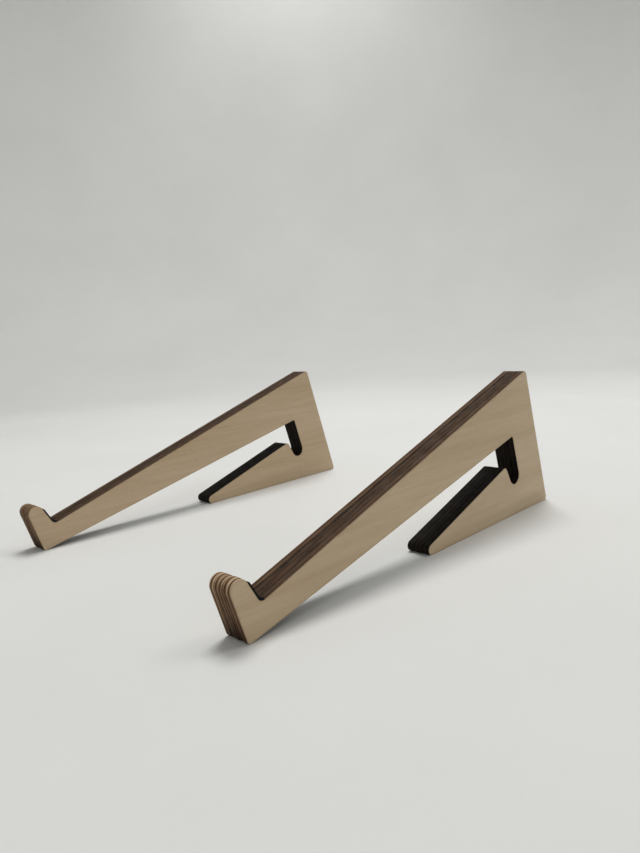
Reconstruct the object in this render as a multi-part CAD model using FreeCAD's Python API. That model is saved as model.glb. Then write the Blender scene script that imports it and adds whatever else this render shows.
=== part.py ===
import FreeCAD, Part
import math
import os
from FreeCAD import Vector

# Laptop stand: two loose supports that stand side by side and are stored nested.
# Each support is five plywood sheets glued face to face, with a rubber strip in its front notch.
# +X is right, +Y is rear, +Z is up. Lengths are millimetres and angles are degrees.
# The origin is the bottom centre of the pair's bounding box.

# The stack
sheet_thickness = 3.2
sheet_places = ["outer", "second", "middle", "fourth", "inner"]
support_spacing = 224.0        # between the middles of the two supports

# Side profile, measured from where the front foot meets the floor
base_length = 291.5            # to the heel's corner, before it is rounded
seat_height = 14.6             # the arm's top edge above the front foot
seat_angle = 18.3              # slope of the arm's top edge, which carries the laptop
underside_angle = 13.2         # slope of the arm's lower edge
end_lean = 16.0                # forward lean of the finger's front and of the rear edge
finger_height = 32.0
finger_back_lean = 29.0        # rearward lean of the side that stops the laptop
tip_radius = 5.2
foot_radius = 2.0
notch_radius = 3.5
top_radius = 3.0
heel_radius = 2.5
nose_radius = 3.4
wedge_tip_radius = 3.5
inner_corner_radius = 1.5

# Nesting: a support turned half round lays its finger in the other one's pocket.
post_width = 32.2              # wood between the pocket and the rear edge, square to both
nest_clearance = 1.0

# Grip strip
strip_thickness = 1.2
strip_tip_gap = 1.0            # from the strip's top end to where the finger's tip starts to round

shortest_run = 1e-6            # two roundings closer than this meet with no straight run between them


def direction(degrees):
    """The unit vector in the side plane at this angle above the rearward floor line."""
    return Vector(0, math.cos(math.radians(degrees)), math.sin(math.radians(degrees)))


def left_of(heading):
    """The unit vector a quarter turn left of a heading."""
    return Vector(0, -heading.z, heading.y)


def moved_left(line, distance):
    point, heading = line
    return point + left_of(heading) * distance, heading


def crossing(first, second):
    """Where two lines of the side plane meet."""
    point, heading = first
    other_point, other_heading = second
    normal = left_of(other_heading)
    travel = (other_point - point).dot(normal) / heading.dot(normal)
    return point + heading * travel


def rounded_outline(corners):
    """A closed wire through (point, radius) corners, with a tangent arc at each rounded one."""
    edges = []
    ends = []
    for index, (corner, radius) in enumerate(corners):
        to_last = (corners[index - 1][0] - corner).normalize()
        to_next = (corners[(index + 1) % len(corners)][0] - corner).normalize()
        half_angle = to_last.getAngle(to_next) / 2
        reach = radius / math.tan(half_angle)
        ends.append((corner + to_last * reach, corner + to_next * reach))
        if radius > 0:
            bisector = (to_last + to_next).normalize()
            middle = corner + bisector * (radius / math.sin(half_angle) - radius)
            edges.append(Part.Arc(ends[-1][0], middle, ends[-1][1]).toShape())
    for index, end in enumerate(ends):
        start, finish = end[1], ends[(index + 1) % len(ends)][0]
        if start.distanceToPoint(finish) > shortest_run:
            edges.append(Part.LineSegment(start, finish).toShape())
    return Part.Wire(Part.sortEdges(edges)[0])


def plate(outline, x_low, thickness):
    """The outline as a flat plate that starts at x_low and grows towards +X."""
    solid = Part.Face(outline).extrude(Vector(thickness, 0, 0))
    solid.translate(Vector(x_low, 0, 0))
    return solid


# Lines of the profile. Each is a point and a heading, and the wood is on its left.
rearward = direction(0)
seat = direction(180 + seat_angle)
rising_rear = direction(90 + end_lean)
falling_front = direction(270 + end_lean)
falling_back = direction(270 + finger_back_lean)
underside = direction(underside_angle)

foot_centre = Vector(0, 0, foot_radius)
finger_front = moved_left((foot_centre, falling_front), -foot_radius)
arm_underside = moved_left((foot_centre, underside), -foot_radius)
arm_top = (Vector(0, 0, seat_height), seat)
rear_edge = (Vector(0, base_length, 0), rising_rear)
floor = (Vector(0, 0, 0), rearward)

tip_height = (Vector(0, 0, finger_height - tip_radius), rearward)
tip_centre = crossing(moved_left(finger_front, tip_radius), tip_height)
finger_back = moved_left((tip_centre, falling_back * -1), -tip_radius)


# The nested support's foot fits between this one's arm and post, one clearance from each.
# A half turn carries a point of one support to half_turn_sum minus that point.
foot_corner = crossing(finger_front, arm_underside)
nested_underside = moved_left(arm_underside, -nest_clearance)
nested_finger_front = moved_left(rear_edge, post_width + nest_clearance)
half_turn_sum = foot_corner + crossing(nested_underside, nested_finger_front)


def nest_side(line):
    """The pocket wall that faces this line of a nested support, one clearance away from it."""
    point, heading = line
    return moved_left((half_turn_sum - point, heading), nest_clearance)


wedge_top = nest_side(arm_top)
pocket_front = nest_side(finger_back)
pocket_rear = nest_side(finger_front)
notch_corner = crossing(arm_top, finger_back)

support_outline = rounded_outline([
    (foot_corner, foot_radius),
    (crossing(arm_underside, pocket_rear), inner_corner_radius),
    (crossing(pocket_rear, pocket_front), tip_radius + nest_clearance),
    (crossing(pocket_front, wedge_top), wedge_tip_radius),
    (crossing(wedge_top, floor), nose_radius),
    (crossing(floor, rear_edge), heel_radius),
    (crossing(rear_edge, arm_top), top_radius),
    (notch_corner, notch_radius),
    (crossing(finger_back, finger_front), tip_radius),
])

# The strip lines the finger's back and the notch's rounding, and ends where the arm's seat begins.
notch_half_angle = math.radians(90 + finger_back_lean - seat_angle) / 2
strip_arm_end = notch_corner - seat * (notch_radius / math.tan(notch_half_angle))
tip_round_start = tip_centre - left_of(finger_back[1]) * tip_radius
strip_finger_end = tip_round_start + falling_back * strip_tip_gap
strip_front_corner = crossing(moved_left(arm_top, -strip_thickness), moved_left(finger_back, -strip_thickness))
strip_outline = rounded_outline([
    (strip_finger_end, 0),
    (notch_corner, notch_radius),
    (strip_arm_end, 0),
    (strip_arm_end - left_of(seat) * strip_thickness, 0),
    (strip_front_corner, notch_radius - strip_thickness),
    (strip_finger_end - left_of(finger_back[1]) * strip_thickness, 0),
])

profile_box = support_outline.BoundBox
to_origin = Vector(0, -(profile_box.YMin + profile_box.YMax) / 2, -profile_box.ZMin)
support_outline.translate(to_origin)
strip_outline.translate(to_origin)

support_width = sheet_thickness * len(sheet_places)
outer_face = (support_spacing + support_width) / 2

parts = {}
for side, sign in (("right", 1), ("left", -1)):
    for index, place in enumerate(sheet_places):
        sheet_middle = sign * (outer_face - (index + 0.5) * sheet_thickness)
        sheet_low = sheet_middle - sheet_thickness / 2
        parts[side + "_" + place + "_sheet"] = plate(support_outline, sheet_low, sheet_thickness)
    strip_low = sign * support_spacing / 2 - support_width / 2
    parts[side + "_grip_strip"] = plate(strip_outline, strip_low, support_width)

os.makedirs("parts", exist_ok=True)
for name, solid in parts.items():
    solid.exportStep("parts/" + name + ".step")
    box = solid.BoundBox
    print(name, round(solid.Volume, 1), [round(v, 2) for v in
          (box.XMin, box.XMax, box.YMin, box.YMax, box.ZMin, box.ZMax)])
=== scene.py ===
import math
import bpy
import bmesh
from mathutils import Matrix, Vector


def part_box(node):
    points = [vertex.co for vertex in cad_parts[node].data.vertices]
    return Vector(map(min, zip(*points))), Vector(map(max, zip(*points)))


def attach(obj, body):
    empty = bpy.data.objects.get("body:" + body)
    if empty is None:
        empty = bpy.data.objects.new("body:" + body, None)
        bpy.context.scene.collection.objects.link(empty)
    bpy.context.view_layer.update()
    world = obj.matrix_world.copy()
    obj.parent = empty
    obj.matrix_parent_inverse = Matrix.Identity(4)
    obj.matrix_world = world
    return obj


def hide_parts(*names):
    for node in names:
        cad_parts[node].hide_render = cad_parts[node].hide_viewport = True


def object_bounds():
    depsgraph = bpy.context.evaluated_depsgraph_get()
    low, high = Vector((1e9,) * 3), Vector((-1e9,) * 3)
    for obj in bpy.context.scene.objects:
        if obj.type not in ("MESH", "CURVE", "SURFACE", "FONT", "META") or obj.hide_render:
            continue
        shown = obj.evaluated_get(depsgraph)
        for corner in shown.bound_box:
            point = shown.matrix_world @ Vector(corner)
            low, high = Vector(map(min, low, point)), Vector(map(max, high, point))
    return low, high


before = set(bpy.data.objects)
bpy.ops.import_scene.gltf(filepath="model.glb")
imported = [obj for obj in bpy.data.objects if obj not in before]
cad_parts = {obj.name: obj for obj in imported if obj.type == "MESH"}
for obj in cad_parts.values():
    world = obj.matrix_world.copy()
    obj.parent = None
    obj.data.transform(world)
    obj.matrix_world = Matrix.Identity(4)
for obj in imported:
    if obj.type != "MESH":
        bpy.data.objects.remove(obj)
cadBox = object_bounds()
print("frame loaded:", len(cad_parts), "nodes")

mm = 0.001
weldDistance = 0.002 * mm
flatAngle = 0.5                 # degrees, below which two triangles are one flat face
sides = ("right", "left")
sheetPlaces = ("outer", "second", "middle", "fourth", "inner")


def deselectAll():
    if bpy.context.object is not None and bpy.context.object.mode != "OBJECT":
        bpy.ops.object.mode_set(mode="OBJECT")
    bpy.ops.object.select_all(action="DESELECT")


def makeActive(piece):
    deselectAll()
    piece.select_set(True)
    bpy.context.view_layer.objects.active = piece


def copyOfNode(nodeName, pieceName):
    # the CAD mesh is loose triangles, so the copy is merged and its flat faces joined up
    piece = bpy.data.objects.new(pieceName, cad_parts[nodeName].data.copy())
    bpy.context.scene.collection.objects.link(piece)
    piece.data.materials.clear()
    makeActive(piece)
    bpy.ops.mesh.customdata_custom_splitnormals_clear()
    bpy.ops.object.mode_set(mode="EDIT")
    bpy.ops.mesh.select_mode(type="FACE")
    bpy.ops.mesh.select_all(action="SELECT")
    bpy.ops.mesh.remove_doubles(threshold=weldDistance)
    bpy.ops.mesh.dissolve_limited(angle_limit=math.radians(flatAngle))
    bpy.ops.mesh.select_all(action="SELECT")
    bpy.ops.mesh.normals_make_consistent(inside=False)
    return piece


def selectFaces(piece, test):
    # in edit mode: selects only the faces that pass the test
    mesh = bmesh.from_edit_mesh(piece.data)
    bpy.ops.mesh.select_mode(type="FACE")
    bpy.ops.mesh.select_all(action="DESELECT")
    for face in mesh.faces:
        if test(face):
            face.select_set(True)
    mesh.select_flush_mode()
    bmesh.update_edit_mesh(piece.data)


def selectEdges(piece, test):
    mesh = bmesh.from_edit_mesh(piece.data)
    bpy.ops.mesh.select_mode(type="EDGE")
    bpy.ops.mesh.select_all(action="DESELECT")
    for edge in mesh.edges:
        if len(edge.link_faces) == 2 and test(edge):
            edge.select_set(True)
    mesh.select_flush_mode()
    bmesh.update_edit_mesh(piece.data)


def facesSideways(face):
    return abs(face.normal.x) > 0.95


def isOutlineEdge(edge):
    return facesSideways(edge.link_faces[0]) != facesSideways(edge.link_faces[1])


def sideOfEdge(edge):
    # 1 on an outline edge of a sheet's right face, -1 on its left face
    faces = sorted(edge.link_faces, key=lambda face: abs(face.normal.x))
    return 1 if faces[-1].normal.x > 0 else -1


# low, from the front right corner
viewpoint = {
    "place": (0.3456, -0.3110, 0.1394),
    "turn": (81.52, 3.75, 44.72),       # degrees
    "lens": 27.63,
    "sensor": 36.0,
}


def makeCamera():
    data = bpy.data.cameras.new("studioCamera")
    data.lens = viewpoint["lens"]
    data.sensor_width = viewpoint["sensor"]
    data.clip_start = 0.01
    data.clip_end = 50
    camera = bpy.data.objects.new("studioCamera", data)
    bpy.context.scene.collection.objects.link(camera)
    camera.location = viewpoint["place"]
    camera.rotation_euler = [math.radians(a) for a in viewpoint["turn"]]
    bpy.context.scene.camera = camera


makeCamera()
print("camera set")


def newMaterial(name):
    material = bpy.data.materials.new(name)
    material.use_nodes = True
    tree = material.node_tree
    shader = tree.nodes["Principled BSDF"]
    return material, tree, shader


def addNode(tree, kind, **values):
    node = tree.nodes.new(kind)
    for key, value in values.items():
        setattr(node, key, value)
    return node


def mathNode(tree, operation, first, second=None, clamp=False):
    node = addNode(tree, "ShaderNodeMath", operation=operation, use_clamp=clamp)
    for socket, value in zip(node.inputs, (first, second)):
        if isinstance(value, bpy.types.NodeSocket):
            tree.links.new(value, socket)
        elif value is not None:
            socket.default_value = value
    return node.outputs[0]


def rampNode(tree, fac, stops):
    # stops are (place, colour)
    node = tree.nodes.new("ShaderNodeValToRGB")
    elements = node.color_ramp.elements
    while len(elements) < len(stops):
        elements.new(0.5)
    for element, (place, colour) in zip(elements, stops):
        element.position = place
        element.color = (*colour, 1)
    tree.links.new(fac, node.inputs["Fac"])
    return node.outputs["Color"]


def mixColour(tree, fac, first, second):
    node = addNode(tree, "ShaderNodeMix", data_type="RGBA")
    tree.links.new(fac, node.inputs["Factor"])
    # inputs 6 and 7 are the colour pair of the Mix node, and output 2 is its colour
    for socket, value in ((node.inputs[6], first), (node.inputs[7], second)):
        if isinstance(value, bpy.types.NodeSocket):
            tree.links.new(value, socket)
        else:
            socket.default_value = (*value, 1)
    return node.outputs[2]


def noiseNode(tree, vector, stretch, detail=3.0, roughness=0.5, turn=(0, 0, 0)):
    # stretch is how many noise cells there are in a metre along X, Y and Z
    mapping = tree.nodes.new("ShaderNodeMapping")
    mapping.inputs["Scale"].default_value = stretch
    mapping.inputs["Rotation"].default_value = [math.radians(a) for a in turn]
    tree.links.new(vector, mapping.inputs["Vector"])
    noise = tree.nodes.new("ShaderNodeTexNoise")
    noise.inputs["Scale"].default_value = 1.0
    noise.inputs["Detail"].default_value = detail
    noise.inputs["Roughness"].default_value = roughness
    tree.links.new(mapping.outputs["Vector"], noise.inputs["Vector"])
    return noise.outputs["Fac"]


def objectCoords(tree):
    return tree.nodes.new("ShaderNodeTexCoord").outputs["Object"]


def bumpInto(tree, shader, height, strength, distance):
    bump = tree.nodes.new("ShaderNodeBump")
    bump.inputs["Strength"].default_value = strength
    bump.inputs["Distance"].default_value = distance
    tree.links.new(height, bump.inputs["Height"])
    tree.links.new(bump.outputs["Normal"], shader.inputs["Normal"])


def newGroup(name, inputs, outputs):
    group = bpy.data.node_groups.new(name, "ShaderNodeTree")
    for socketName, kind, value in inputs:
        socket = group.interface.new_socket(name=socketName, in_out="INPUT", socket_type=kind)
        if value is not None:
            socket.default_value = value
    for socketName, kind in outputs:
        group.interface.new_socket(name=socketName, in_out="OUTPUT", socket_type=kind)
    return group, group.nodes.new("NodeGroupInput"), group.nodes.new("NodeGroupOutput")


def useGroup(tree, group, links, values):
    node = tree.nodes.new("ShaderNodeGroup")
    node.node_tree = group
    for name, source in links.items():
        tree.links.new(source, node.inputs[name])
    for name, value in values.items():
        node.inputs[name].default_value = value
    return node


# noise cells in a metre along X, Y and Z, and how much each adds to the tone
grainLook = {
    "tilt": (4, 0, 0),              # degrees the grain runs off the sheet's length
    "figure": (30, 7, 75),
    "bands": (30, 10, 330),
    "fibre": (900, 55, 1900),
    "vessel": (900, 190, 2600),
    "bandShare": 0.80,
    "fibreShare": 0.75,
    "vesselFrom": 0.62,
    "vesselSharp": 5.0,
    "vesselDepth": 0.7,
}


def makeGrainGroup():
    # rotary-cut veneer: long soft figure, fine fibres and short dark vessel lines, all along Y
    group, source, sink = newGroup(
        "veneerGrain",
        [("Vector", "NodeSocketVector", None), ("Figure", "NodeSocketFloat", 1.0)],
        [("Tone", "NodeSocketFloat"), ("Fleck", "NodeSocketFloat"), ("Height", "NodeSocketFloat")],
    )
    vector = source.outputs["Vector"]
    tilt = grainLook["tilt"]
    figure = noiseNode(group, vector, grainLook["figure"], detail=4.0, roughness=0.55, turn=tilt)
    bands = noiseNode(group, vector, grainLook["bands"], detail=3.0, roughness=0.6, turn=tilt)
    fibre = noiseNode(group, vector, grainLook["fibre"], detail=3.0, roughness=0.65, turn=tilt)
    vessel = noiseNode(group, vector, grainLook["vessel"], detail=2.0, roughness=0.5, turn=tilt)
    broad = mathNode(group, "MULTIPLY", mathNode(group, "SUBTRACT", figure, 0.5), source.outputs["Figure"])
    fine = mathNode(group, "MULTIPLY", mathNode(group, "SUBTRACT", bands, 0.5), grainLook["bandShare"])
    hair = mathNode(group, "MULTIPLY", mathNode(group, "SUBTRACT", fibre, 0.5), grainLook["fibreShare"])
    tone = mathNode(group, "ADD", mathNode(group, "ADD", broad, fine), hair)
    tone = mathNode(group, "ADD", tone, 0.5, clamp=True)
    fleck = mathNode(group, "SUBTRACT", vessel, grainLook["vesselFrom"], clamp=True)
    fleck = mathNode(group, "MULTIPLY", fleck, grainLook["vesselSharp"], clamp=True)
    sunken = mathNode(group, "MULTIPLY", fleck, grainLook["vesselDepth"])
    height = mathNode(group, "SUBTRACT", fibre, sunken)
    group.links.new(tone, sink.inputs["Tone"])
    group.links.new(fleck, sink.inputs["Fleck"])
    group.links.new(height, sink.inputs["Height"])
    return group


layerLook = {
    "wander": (20, 110, 110),       # noise cells in a metre, for how the core's edge strays
    "wanderShare": 0.16,
    "coreSharp": -9.0,
    "glueFrom": 0.46,
    "glueSharp": 25.0,
    "kerf": (60, 2600, 2600),
    "scatter": (12.99, 43.7),       # any two numbers that spread the sheets' tones out
}


def makeLayerGroup():
    # where a cut edge lies in its stack: pale face plies in pairs, darker cores, and thin glue lines
    group, source, sink = newGroup(
        "sheetLayers",
        [
            ("Vector", "NodeSocketVector", None),
            ("Stack Start", "NodeSocketFloat", 0.0),
            ("Sheet", "NodeSocketFloat", 0.0032),
            ("Core Half", "NodeSocketFloat", 0.2),
        ],
        [
            ("Core", "NodeSocketFloat"),
            ("Glue", "NodeSocketFloat"),
            ("Kerf", "NodeSocketFloat"),
            ("Layer Tone", "NodeSocketFloat"),
        ],
    )
    vector = source.outputs["Vector"]
    split = group.nodes.new("ShaderNodeSeparateXYZ")
    group.links.new(vector, split.inputs[0])
    across = mathNode(group, "SUBTRACT", split.outputs["X"], source.outputs["Stack Start"])
    across = mathNode(group, "DIVIDE", across, source.outputs["Sheet"])
    wander = noiseNode(group, vector, layerLook["wander"], detail=3.0)
    wander = mathNode(group, "MULTIPLY", mathNode(group, "SUBTRACT", wander, 0.5), layerLook["wanderShare"])
    inSheet = mathNode(group, "FRACT", across)
    fromMiddle = mathNode(group, "ABSOLUTE", mathNode(group, "SUBTRACT", inSheet, 0.5))
    wavy = mathNode(group, "ADD", fromMiddle, wander)
    core = mathNode(group, "SUBTRACT", wavy, source.outputs["Core Half"])
    core = mathNode(group, "MULTIPLY", core, layerLook["coreSharp"])
    core = mathNode(group, "ADD", core, 0.5, clamp=True)
    glue = mathNode(group, "SUBTRACT", fromMiddle, layerLook["glueFrom"])
    glue = mathNode(group, "MULTIPLY", glue, layerLook["glueSharp"], clamp=True)
    # a different tone for each sheet, and its own marks of the cut
    firstScatter, secondScatter = layerLook["scatter"]
    layer = mathNode(group, "MULTIPLY", mathNode(group, "FLOOR", across), firstScatter)
    layer = mathNode(group, "SINE", layer)
    spread = mathNode(group, "FRACT", mathNode(group, "MULTIPLY", layer, secondScatter))
    shift = group.nodes.new("ShaderNodeCombineXYZ")
    group.links.new(spread, shift.inputs["Y"])
    group.links.new(spread, shift.inputs["Z"])
    shifted = addNode(group, "ShaderNodeVectorMath", operation="ADD")
    group.links.new(vector, shifted.inputs[0])
    group.links.new(shift.outputs[0], shifted.inputs[1])
    kerf = noiseNode(group, shifted.outputs[0], layerLook["kerf"], detail=3.0, roughness=0.65)
    for name, socket in (("Core", core), ("Glue", glue), ("Kerf", kerf), ("Layer Tone", spread)):
        group.links.new(socket, sink.inputs[name])
    return group


mottleLook = {
    "detail": 5.0,
    "roughness": 0.6,
    "from": 0.32,                   # noise below this is clear
    "sharp": 2.8,
}


def makeMottleGroup():
    # slow blotches with finer ones inside, for smoke, handling and dust
    group, source, sink = newGroup(
        "mottle",
        [("Vector", "NodeSocketVector", None), ("Scale", "NodeSocketFloat", 60.0)],
        [("Mask", "NodeSocketFloat")],
    )
    noise = group.nodes.new("ShaderNodeTexNoise")
    noise.inputs["Detail"].default_value = mottleLook["detail"]
    noise.inputs["Roughness"].default_value = mottleLook["roughness"]
    group.links.new(source.outputs["Vector"], noise.inputs["Vector"])
    group.links.new(source.outputs["Scale"], noise.inputs["Scale"])
    spread = mathNode(group, "SUBTRACT", noise.outputs["Fac"], mottleLook["from"])
    spread = mathNode(group, "MULTIPLY", spread, mottleLook["sharp"], clamp=True)
    group.links.new(spread, sink.inputs["Mask"])
    return group


grainGroup = makeGrainGroup()
layerGroup = makeLayerGroup()
mottleGroup = makeMottleGroup()
print("shader groups made")


birchLook = {
    "pale": (0.630, 0.500, 0.345),
    "warm": (0.460, 0.338, 0.208),
    "fleck": (0.300, 0.196, 0.110),
    "smoke": (0.300, 0.180, 0.090),
    "figure": 1.25,
    "fleckShare": 0.6,
    "patchScale": 22.0,
    "patchShare": 0.16,
    "smokeScale": 240.0,
    "smokeFall": 1.6,               # how fast the smoke fades away from the edge
    "smokeShare": (0.34, 0.04),     # in the blotches, and everywhere
    "roughness": (0.50, 0.66),
    "specular": 0.35,
    "bump": 0.22,
    "bumpDepth": 0.05 * mm,
}


def makeBirchFace():
    material, tree, shader = newMaterial("birchFace")
    coords = objectCoords(tree)
    grain = useGroup(tree, grainGroup, {"Vector": coords}, {"Figure": birchLook["figure"]})
    mottle = useGroup(tree, mottleGroup, {"Vector": coords}, {"Scale": birchLook["patchScale"]})
    colour = mixColour(tree, grain.outputs["Tone"], birchLook["warm"], birchLook["pale"])
    patch = mathNode(tree, "MULTIPLY", mottle.outputs["Mask"], birchLook["patchShare"])
    colour = mixColour(tree, patch, colour, birchLook["warm"])
    fleckShare = mathNode(tree, "MULTIPLY", grain.outputs["Fleck"], birchLook["fleckShare"])
    colour = mixColour(tree, fleckShare, colour, birchLook["fleck"])
    # smoke from the cut stains a narrow band beside the edge
    soot = addNode(tree, "ShaderNodeAttribute", attribute_name="soot")
    fine = useGroup(tree, mottleGroup, {"Vector": coords}, {"Scale": birchLook["smokeScale"]})
    stain = mathNode(tree, "POWER", soot.outputs["Fac"], birchLook["smokeFall"])
    blotchShare, evenShare = birchLook["smokeShare"]
    ragged = mathNode(tree, "MULTIPLY", fine.outputs["Mask"], blotchShare)
    ragged = mathNode(tree, "ADD", ragged, evenShare)
    stain = mathNode(tree, "MULTIPLY", stain, ragged, clamp=True)
    colour = mixColour(tree, stain, colour, birchLook["smoke"])
    tree.links.new(colour, shader.inputs["Base Color"])
    shader.inputs["Specular IOR Level"].default_value = birchLook["specular"]
    low, high = birchLook["roughness"]
    rough = mathNode(tree, "MULTIPLY", grain.outputs["Tone"], low - high)
    tree.links.new(mathNode(tree, "ADD", rough, high), shader.inputs["Roughness"])
    bumpInto(tree, shader, grain.outputs["Height"], birchLook["bump"], birchLook["bumpDepth"])
    return material


charLook = {
    # (char, face ply, core): from nearly clean wood at 0, through scorched brown, to black at 1
    "stages": (
        (0.00, (0.560, 0.405, 0.262), (0.120, 0.068, 0.037)),
        (0.25, (0.300, 0.184, 0.106), (0.095, 0.052, 0.028)),
        (0.60, (0.125, 0.071, 0.040), (0.068, 0.038, 0.021)),
        (0.85, (0.048, 0.028, 0.016), (0.021, 0.012, 0.007)),
        (1.00, (0.0150, 0.0100, 0.0065), (0.0040, 0.0030, 0.0025)),
    ),
    "glue": (0.020, 0.012, 0.008),
    "glueShare": 0.45,
    "coreHalf": 0.20,               # half the core's share of the sheet
    "plies": (520, 70, 70),         # noise cells in a metre
    "plyShare": 0.55,
    "kerfShare": 0.32,
    "layerShare": 0.26,             # how far one sheet's tone is from the next one's
    "fullFrom": 0.8,                # char above this is evenly black
    "fullSharp": 5.0,
    "ashScale": 150.0,
    "specular": 0.12,
    "roughness": (0.62, 0.88),
    "bump": 0.40,
    "bumpDepth": 0.08 * mm,
}


def makeCutEdge(side):
    # laser-cut edge: from nearly clean plies, where char is 0, to black, where it is 1
    material, tree, shader = newMaterial(side + "CutEdge")
    coords = objectCoords(tree)
    low = min(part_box(side + "_" + place + "_sheet")[0].x for place in sheetPlaces)
    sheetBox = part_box(side + "_middle_sheet")
    layers = useGroup(
        tree, layerGroup, {"Vector": coords},
        {
            "Stack Start": low,
            "Sheet": sheetBox[1].x - sheetBox[0].x,
            "Core Half": charLook["coreHalf"],
        },
    )
    mottle = useGroup(tree, mottleGroup, {"Vector": coords}, {"Scale": charLook["ashScale"]})
    # the char attribute is scorch with painted shade: darker finger feet and black recesses
    char = addNode(tree, "ShaderNodeAttribute", attribute_name="char").outputs["Fac"]
    plies = noiseNode(tree, coords, charLook["plies"], detail=3.0, roughness=0.6)
    uneven = mathNode(tree, "MULTIPLY", mathNode(tree, "SUBTRACT", plies, 0.5), charLook["plyShare"])
    streak = mathNode(tree, "SUBTRACT", layers.outputs["Kerf"], 0.5)
    streak = mathNode(tree, "MULTIPLY", streak, charLook["kerfShare"])
    layerTone = mathNode(tree, "SUBTRACT", layers.outputs["Layer Tone"], 0.5)
    layerTone = mathNode(tree, "MULTIPLY", layerTone, charLook["layerShare"])
    marks = mathNode(tree, "ADD", streak, layerTone)
    burnAndShade = mathNode(tree, "ADD", mathNode(tree, "ADD", char, uneven), marks)
    # full black stays black: the unevenness only shows where the char is partial
    full = mathNode(tree, "SUBTRACT", char, charLook["fullFrom"])
    full = mathNode(tree, "MULTIPLY", full, charLook["fullSharp"])
    burnAndShade = mathNode(tree, "MAXIMUM", burnAndShade, full, clamp=True)
    faceColour = rampNode(tree, burnAndShade, [(char, face) for char, face, core in charLook["stages"]])
    coreColour = rampNode(tree, burnAndShade, [(char, core) for char, face, core in charLook["stages"]])
    colour = mixColour(tree, layers.outputs["Core"], faceColour, coreColour)
    glueShare = mathNode(tree, "MULTIPLY", layers.outputs["Glue"], charLook["glueShare"])
    colour = mixColour(tree, glueShare, colour, charLook["glue"])
    shader.inputs["Specular IOR Level"].default_value = charLook["specular"]
    tree.links.new(colour, shader.inputs["Base Color"])
    lowRough, highRough = charLook["roughness"]
    rough = mathNode(tree, "MULTIPLY", mottle.outputs["Mask"], highRough - lowRough)
    tree.links.new(mathNode(tree, "ADD", rough, lowRough), shader.inputs["Roughness"])
    bumpInto(tree, shader, layers.outputs["Kerf"], charLook["bump"], charLook["bumpDepth"])
    return material


rubberLook = {
    "deep": (0.0025, 0.0025, 0.0025),
    "worn": (0.0090, 0.0085, 0.0080),
    "wearScale": 500.0,
    "pores": (3200, 3200, 3200),    # noise cells in a metre
    "specular": 0.12,
    "roughness": (0.62, 0.84),
    "bump": 0.35,
    "bumpDepth": 0.06 * mm,
}


def makeGripRubber():
    material, tree, shader = newMaterial("gripRubber")
    coords = objectCoords(tree)
    mottle = useGroup(tree, mottleGroup, {"Vector": coords}, {"Scale": rubberLook["wearScale"]})
    pores = noiseNode(tree, coords, rubberLook["pores"], detail=2.0)
    colour = mixColour(tree, mottle.outputs["Mask"], rubberLook["deep"], rubberLook["worn"])
    tree.links.new(colour, shader.inputs["Base Color"])
    shader.inputs["Specular IOR Level"].default_value = rubberLook["specular"]
    low, high = rubberLook["roughness"]
    rough = mathNode(tree, "MULTIPLY", mottle.outputs["Mask"], high - low)
    tree.links.new(mathNode(tree, "ADD", rough, low), shader.inputs["Roughness"])
    bumpInto(tree, shader, pores, rubberLook["bump"], rubberLook["bumpDepth"])
    return material


birchFace = makeBirchFace()
cutEdge = {side: makeCutEdge(side) for side in sides}
gripRubber = makeGripRubber()
print("materials made")


sheetLook = {
    "play": 0.56 * mm,              # how much shorter than the CAD sheet each cut sheet is
    "heightPlay": 0.16 * mm,
    # how far each sheet slipped along Y when the stack was glued
    "slip": {
        "right": {
            "outer": -0.10 * mm,
            "second": 0.22 * mm,
            "middle": -0.24 * mm,
            "fourth": 0.08 * mm,
            "inner": -0.16 * mm,
        },
        "left": {
            "outer": -0.06 * mm,
            "second": -0.24 * mm,
            "middle": 0.18 * mm,
            "fourth": -0.12 * mm,
            "inner": 0.12 * mm,
        },
    },
    "faceBevel": 0.28 * mm,         # the eased edge of a face that shows
    "faceBevelSteps": 2,
    "hiddenBevel": 0.10 * mm,       # the edges that make the grooves between the sheets
    "sootWidth": 1.3 * mm,
    "smoothUnder": 20,              # degrees
    "fingerReach": 14 * mm,         # how far back from the front of the stand the finger goes
    "fingerCuts": 8,                # edge loops across the finger's front, to carry its scorching and painted shade
    "fingerEdge": 15 * mm,          # a front edge that climbs more than this is the finger's
    "shownTurn": 0.8,               # a face that looks this much sideways is sanded pale
}

# how burnt the cut edge is, from 0 to 1, with painted shade added: the fingers darken towards the floor and
# the recesses are black
scorchAndShade = {
    "inside": 1.0,                  # the gap under the arm, the wedge and the pocket: fully black, scorch with painted shade on top
    "seat": 0.70,
    "rear": 0.58,
    "foot": 0.80,
    # up the finger, as (height above the floor, char): less and less towards the tip; the darkening towards
    # the floor is partly painted shade, and the left finger is kept darker than the right
    "finger": {
        "right": (
            (1 * mm, 0.74), (6 * mm, 0.62), (14 * mm, 0.40),
            (23 * mm, 0.40), (28 * mm, 0.16), (31 * mm, 0.05),
        ),
        "left": (
            (1 * mm, 0.66), (6 * mm, 0.54), (14 * mm, 0.36),
            (23 * mm, 0.34), (28 * mm, 0.30), (31 * mm, 0.28),
        ),
    },
    "floorZone": 0.5 * mm,          # below this an edge is the underside
    "rearZone": 32 * mm,            # this near the back, a rearward edge is the rear one
    "seatZone": 4 * mm,             # this near the arm's top line, an edge is the seat
    "downward": -0.5,               # an edge that faces down more than this is under the foot
    "rearward": 0.9,
    "upward": 0.8,                  # a triangle of the arm's top edge faces up more than this
    "sideways": 0.1,                # and sideways less than this
}


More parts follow.
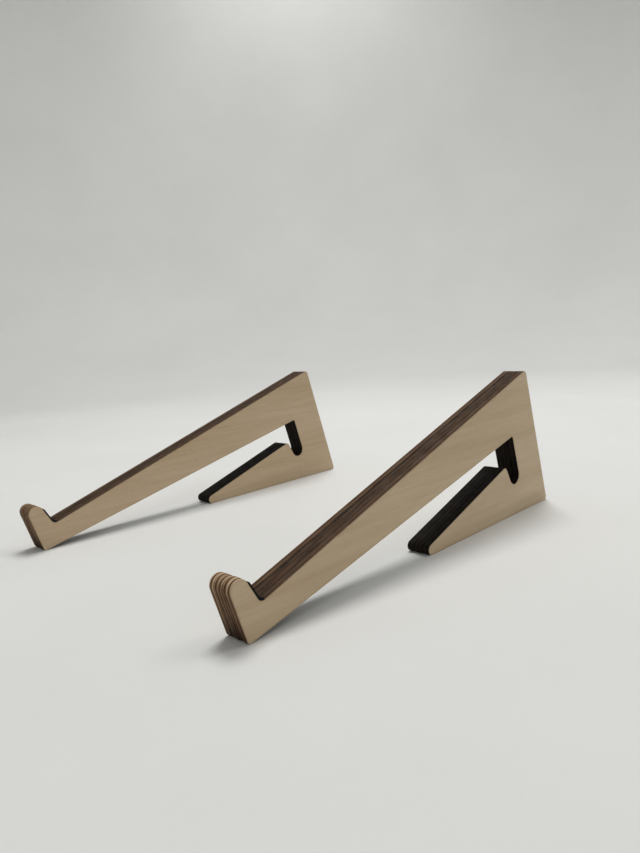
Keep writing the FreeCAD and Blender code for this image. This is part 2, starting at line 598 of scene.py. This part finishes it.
def fitSheet(piece, slip):
    # a slightly smaller sheet, slipped along Y, still stands on the floor and stays in the CAD box
    low, high = cadBox
    depth, height = high.y - low.y, high.z - low.z
    bpy.ops.mesh.select_all(action="SELECT")
    shrink = (1, 1 - sheetLook["play"] / depth, 1 - sheetLook["heightPlay"] / height)
    bpy.ops.transform.resize(value=shrink, center_override=(0, 0, 0))
    bpy.ops.transform.translate(value=(0, slip, 0))


def levelAt(height, levels):
    if height <= levels[0][0]:
        return levels[0][1]
    for (low, lowLevel), (high, highLevel) in zip(levels, levels[1:]):
        if height < high:
            return lowLevel + (highLevel - lowLevel) * (height - low) / (high - low)
    return levels[-1][1]


def findSeatLine():
    # the arm's top edge as (height at the front of the stand, rise per metre),
    # from the longest triangle that faces up
    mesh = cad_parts["right_middle_sheet"].data
    best = None
    for triangle in mesh.polygons:
        faceUp = triangle.normal.z > scorchAndShade["upward"]
        if faceUp and abs(triangle.normal.x) < scorchAndShade["sideways"]:
            reach = [mesh.vertices[v].co for v in triangle.vertices]
            length = max(p.y for p in reach) - min(p.y for p in reach)
            if best is None or length > best[0]:
                best = (length, triangle.normal.copy(), reach[0].copy())
    slope = -best[1].y / best[1].z
    return best[2].z + slope * (cadBox[0].y - best[2].y), slope


seatLine = findSeatLine()


def charAt(side, place, outward):
    # a point of the outline is told apart by where it is and which way it faces; its level is scorch with
    # painted shade in it
    front, rear = cadBox[0].y, cadBox[1].y
    if place.y < front + sheetLook["fingerReach"]:
        if outward.z < scorchAndShade["downward"]:
            return scorchAndShade["foot"]
        return levelAt(place.z, scorchAndShade["finger"][side])
    if place.z < scorchAndShade["floorZone"]:
        return scorchAndShade["foot"]
    if outward.y > scorchAndShade["rearward"] and place.y > rear - scorchAndShade["rearZone"]:
        return scorchAndShade["rear"]
    seatHeight = seatLine[0] + seatLine[1] * (place.y - front)
    if place.z > seatHeight - scorchAndShade["seatZone"]:
        return scorchAndShade["seat"]
    # the recesses: scorch made fully black with painted shade
    return scorchAndShade["inside"]


def paintEdges(piece, side, shownSide):
    # char, painted shade included, and soot are kept on the points, for the two materials to read
    mesh = bmesh.from_edit_mesh(piece.data)
    charLayer = mesh.verts.layers.float.new("char")
    sootLayer = mesh.verts.layers.float.new("soot")
    for vert in mesh.verts:
        outward = Vector((0, 0, 0))
        for face in vert.link_faces:
            if not facesSideways(face):
                outward += face.normal
        if outward.length > 0:
            outward.normalize()
        vert[charLayer] = charAt(side, vert.co, outward)
        vert[sootLayer] = 1.0
    bmesh.update_edit_mesh(piece.data)
    if shownSide:
        # the soot is 1 round the face's rim and 0 inside it
        selectFaces(piece, lambda face: facesSideways(face) and face.normal.x * shownSide > 0)
        bpy.ops.mesh.inset(thickness=sheetLook["sootWidth"], depth=0)
        mesh = bmesh.from_edit_mesh(piece.data)
        sootLayer = mesh.verts.layers.float["soot"]
        for face in mesh.faces:
            if face.select:
                for vert in face.verts:
                    vert[sootLayer] = 0.0
        bmesh.update_edit_mesh(piece.data)


def isFingerFrontEdge(edge):
    # the long slanting edges at the very front of a sheet
    low, high = sorted((vert.co for vert in edge.verts), key=lambda place: place.z)
    steep = high.z - low.z > sheetLook["fingerEdge"]
    return isOutlineEdge(edge) and steep and high.y < cadBox[0].y + sheetLook["fingerReach"]


def makeSheet(side, place):
    nodeName = side + "_" + place + "_sheet"
    piece = copyOfNode(nodeName, side + place.capitalize() + "Ply")
    fitSheet(piece, sheetLook["slip"][side][place])
    outwardSign = 1 if side == "right" else -1
    shownSide = {"outer": outwardSign, "inner": -outwardSign}.get(place, 0)
    selectEdges(piece, isFingerFrontEdge)
    bpy.ops.mesh.subdivide(number_cuts=sheetLook["fingerCuts"])
    # the shown face is eased a little more than the ones glued to a neighbour
    selectEdges(piece, lambda edge: isOutlineEdge(edge) and sideOfEdge(edge) == shownSide)
    bpy.ops.mesh.bevel(
        offset=sheetLook["faceBevel"], segments=sheetLook["faceBevelSteps"],
        affect="EDGES", clamp_overlap=True)
    selectEdges(piece, lambda edge: isOutlineEdge(edge) and sideOfEdge(edge) != shownSide)
    bpy.ops.mesh.bevel(offset=sheetLook["hiddenBevel"], segments=1, affect="EDGES", clamp_overlap=True)
    paintEdges(piece, side, shownSide)
    piece.data.materials.append(cutEdge[side])
    if shownSide:
        # the glued faces keep the cut edge's material, because only a scorched sliver of them shows
        piece.data.materials.append(birchFace)
        # the outer half of the eased edge is sanded back to pale wood with the face
        selectFaces(piece, lambda face: face.normal.x * shownSide > sheetLook["shownTurn"])
        piece.active_material_index = 1
        bpy.ops.object.material_slot_assign()
    bpy.ops.object.mode_set(mode="OBJECT")
    bpy.ops.object.shade_smooth_by_angle(angle=math.radians(sheetLook["smoothUnder"]))
    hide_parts(nodeName)
    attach(piece, side + "_support")


for side in sides:
    for place in sheetPlaces:
        makeSheet(side, place)
    print(side, "sheets made")


stripLook = {
    "bevel": 0.32 * mm,
    "bevelSteps": 3,
    "smoothUnder": 35,              # degrees
    "sharpOver": 40,                # degrees, past which an edge is rounded over
}


def makeStrip(side):
    nodeName = side + "_grip_strip"
    piece = copyOfNode(nodeName, side + "GripPad")
    sharp = math.radians(stripLook["sharpOver"])
    selectEdges(piece, lambda edge: edge.calc_face_angle(0) > sharp)
    bpy.ops.mesh.bevel(
        offset=stripLook["bevel"], segments=stripLook["bevelSteps"],
        affect="EDGES", clamp_overlap=True)
    bpy.ops.object.mode_set(mode="OBJECT")
    bpy.ops.object.shade_smooth_by_angle(angle=math.radians(stripLook["smoothUnder"]))
    piece.data.materials.append(gripRubber)
    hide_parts(nodeName)
    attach(piece, side + "_support")


for side in sides:
    makeStrip(side)
print("grip strips made")


# a round sweep of pale paper under soft lights, in metres
studioLook = {
    "paper": (0.78, 0.785, 0.775),
    "paperShade": (0.74, 0.745, 0.735),
    "paperScale": 3.0,
    "paperRoughness": 0.75,
    "paperSpecular": 0.25,
    "flatRadius": 1.25,
    "bendRadius": 0.9,
    "wallHeight": 1.5,
    "bendSteps": 12,
    "sides": 96,
    "drop": 0.05 * mm,
    "sky": (1.0, 0.995, 0.975),
    "skyStrength": 0.288,
}


def makePaper():
    material, tree, shader = newMaterial("studioPaper")
    coords = objectCoords(tree)
    mottle = useGroup(tree, mottleGroup, {"Vector": coords}, {"Scale": studioLook["paperScale"]})
    colour = mixColour(tree, mottle.outputs["Mask"], studioLook["paper"], studioLook["paperShade"])
    tree.links.new(colour, shader.inputs["Base Color"])
    shader.inputs["Roughness"].default_value = studioLook["paperRoughness"]
    shader.inputs["Specular IOR Level"].default_value = studioLook["paperSpecular"]
    return material


def makeSweep():
    deselectAll()
    radius = studioLook["flatRadius"]
    bpy.ops.mesh.primitive_circle_add(
        vertices=studioLook["sides"], radius=radius, fill_type="NGON",
        location=(0, 0, -studioLook["drop"]))
    sweep = bpy.context.object
    sweep.name = "studioSweep"
    bpy.ops.object.transform_apply(location=True, rotation=False, scale=False)
    bpy.ops.object.mode_set(mode="EDIT")
    bpy.ops.mesh.select_mode(type="EDGE")
    bpy.ops.mesh.select_all(action="SELECT")
    bpy.ops.mesh.region_to_loop()
    bend, steps = studioLook["bendRadius"], studioLook["bendSteps"]
    reach, height = radius, 0.0
    for step in range(1, steps + 1):
        turn = math.pi / 2 * step / steps
        nextReach = radius + bend * math.sin(turn)
        nextHeight = bend * (1 - math.cos(turn))
        grow = nextReach / reach
        lift = (0, 0, nextHeight - height)
        bpy.ops.mesh.extrude_region_move(TRANSFORM_OT_translate={"value": lift})
        bpy.ops.transform.resize(value=(grow, grow, 1), center_override=(0, 0, 0))
        reach, height = nextReach, nextHeight
    wall = (0, 0, studioLook["wallHeight"])
    bpy.ops.mesh.extrude_region_move(TRANSFORM_OT_translate={"value": wall})
    bpy.ops.mesh.select_all(action="SELECT")
    bpy.ops.mesh.normals_make_consistent(inside=True)
    bpy.ops.object.mode_set(mode="OBJECT")
    bpy.ops.object.shade_smooth()
    sweep.data.materials.append(makePaper())


# backGlow lightens the top of the sweep
softLights = [
    # name, place, aimed at, size, watts, colour
    ("overhead", (-0.30, 0.40, 1.80), (0, 0, 0), 0.8, 19.0, (1.0, 0.99, 0.97)),
    ("rearRight", (0.65, 1.10, 1.45), (0, 0, 0), 0.7, 4.5, (1.0, 0.99, 0.965)),
    ("rightFill", (1.35, -0.55, 0.95), (0.05, 0, 0.04), 0.9, 0.8, (1.0, 0.98, 0.95)),
    ("backGlow", (-1.10, 1.12, 1.72), (-1.47, 1.52, 1.50), 0.35, 3.0, (1.0, 1.0, 0.99)),
]


def makeLights():
    for name, place, aim, size, watts, colour in softLights:
        data = bpy.data.lights.new(name, "AREA")
        data.shape = "DISK"
        data.size = size
        data.energy = watts
        data.color = colour
        light = bpy.data.objects.new(name, data)
        bpy.context.scene.collection.objects.link(light)
        light.location = place
        light.rotation_euler = (Vector(aim) - Vector(place)).to_track_quat("-Z", "Y").to_euler()
    world = bpy.data.worlds.new("studioSky")
    world.use_nodes = True
    sky = world.node_tree.nodes["Background"]
    sky.inputs["Color"].default_value = (*studioLook["sky"], 1)
    sky.inputs["Strength"].default_value = studioLook["skyStrength"]
    bpy.context.scene.world = world
    bpy.context.scene.view_settings.view_transform = "Standard"


makeSweep()
makeLights()
print("studio made")
